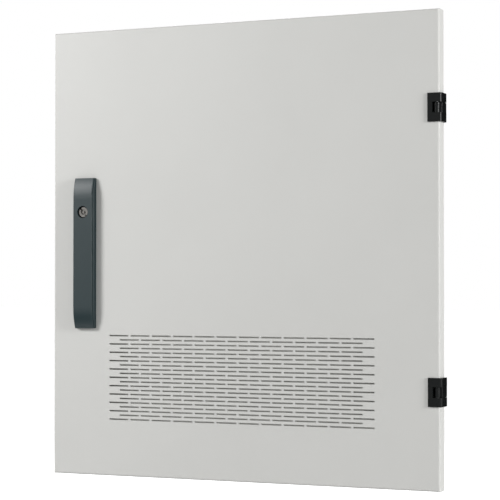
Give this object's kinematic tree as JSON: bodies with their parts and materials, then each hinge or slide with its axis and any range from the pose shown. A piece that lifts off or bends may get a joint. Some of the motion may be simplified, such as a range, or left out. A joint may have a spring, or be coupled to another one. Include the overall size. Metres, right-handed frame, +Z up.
{
  "type": "perforated rack door",
  "caption": "Light grey folded steel rack door with a field of horizontal vent slots, a grey lift-and-turn handle with key lock, two latch rods and two black block hinges.",
  "frame": {"origin": "on the cabinet face, midway between the two screw holes of the lower hinge's frame leaf", "axes": "+X from the handle edge to the hinge edge seen from the front, +Y from the front of the door to the cabinet, +Z up"},
  "size_m": [0.5532, 0.034, 0.6],
  "materials": {
    "door_paint": "light grey powder coat, fine texture",
    "seal_foam": "foamed polyurethane gasket, matt",
    "zinc_steel": "bright zinc plate",
    "pin_steel": "ground steel pin",
    "earth_brass": "plain brass",
    "hinge_black": "black powder coat on zinc die casting, satin",
    "handle_paint": "anthracite powder coat on zinc die casting, fine texture",
    "spindle_zinc": "zinc die casting, tumbled",
    "lock_black": "black passivated",
    "lock_chrome": "turned and nickel plated",
    "case_nylon": "black glass-filled nylon",
    "guide_nylon": "natural nylon"
  },
  "bodies": {
    "hinge_mounts": {"upper_hinge_frame_leaf": "hinge_black", "lower_hinge_frame_leaf": "hinge_black", "upper_hinge_pin": "pin_steel", "lower_hinge_pin": "pin_steel"},
    "door": {"door_panel": "door_paint", "edge_seal": "seal_foam", "vent_baffle": "door_paint", "weld_studs": "zinc_steel", "baffle_nuts": "zinc_steel", "earth_stud": "earth_brass", "earth_washer": "earth_brass", "earth_nut": "earth_brass", "upper_hinge_door_leaf": "hinge_black", "lower_hinge_door_leaf": "hinge_black", "upper_hinge_clamp": "zinc_steel", "lower_hinge_clamp": "zinc_steel", "hinge_screws": "zinc_steel", "handle_dish": "handle_paint", "dish_screw": "zinc_steel", "dish_washer": "zinc_steel", "latch_case": "case_nylon", "latch_cover": "case_nylon", "case_screws": "zinc_steel", "upper_rod_guide": "guide_nylon", "lower_rod_guide": "guide_nylon", "guide_nuts": "zinc_steel"},
    "spindle": {"handle_spindle": "spindle_zinc", "latch_pinion": "spindle_zinc", "spindle_washer": "zinc_steel", "spindle_screw": "zinc_steel"},
    "lever": {"lever": "handle_paint", "lock_housing": "lock_black", "lever_pivot_pin": "pin_steel"},
    "lock": {"lock_plug": "lock_chrome", "lock_cam": "zinc_steel"},
    "upper_rod": {"upper_latch_rod": "zinc_steel"},
    "lower_rod": {"lower_latch_rod": "zinc_steel"}
  },
  "joints": [
    {"name": "door_swing", "type": "hinge", "parent": "hinge_mounts", "child": "door", "pos_m": [0.004, -0.019, 0], "axis": [0, 0, 1], "range_deg": [0, 130]},
    {"name": "handle_turn", "type": "hinge", "parent": "door", "child": "spindle", "pos_m": [-0.4915, -0.0235, 0.1085], "axis": [0, 1, 0], "range_deg": [0, 90]},
    {"name": "lever_lift", "type": "hinge", "parent": "spindle", "child": "lever", "pos_m": [-0.4915, -0.0275, 0.0787], "axis": [1, 0, 0], "range_deg": [0, 30]},
    {"name": "lock_turn", "type": "hinge", "parent": "lever", "child": "lock", "pos_m": [-0.4915, -0.0316, 0.2315], "axis": [0, 1, 0], "range_deg": [0, 90]},
    {"name": "upper_rod_slide", "type": "slide", "parent": "door", "child": "upper_rod", "axis": [0, 0, -1], "range_m": [0, 0.0142]},
    {"name": "lower_rod_slide", "type": "slide", "parent": "door", "child": "lower_rod", "axis": [0, 0, 1], "range_m": [0, 0.0142]}
  ],
  "couplings": [
    {"joint": "upper_rod_slide", "follows": "handle_turn", "m_per_rad": 0.009},
    {"joint": "lower_rod_slide", "follows": "handle_turn", "m_per_rad": 0.009}
  ]
}
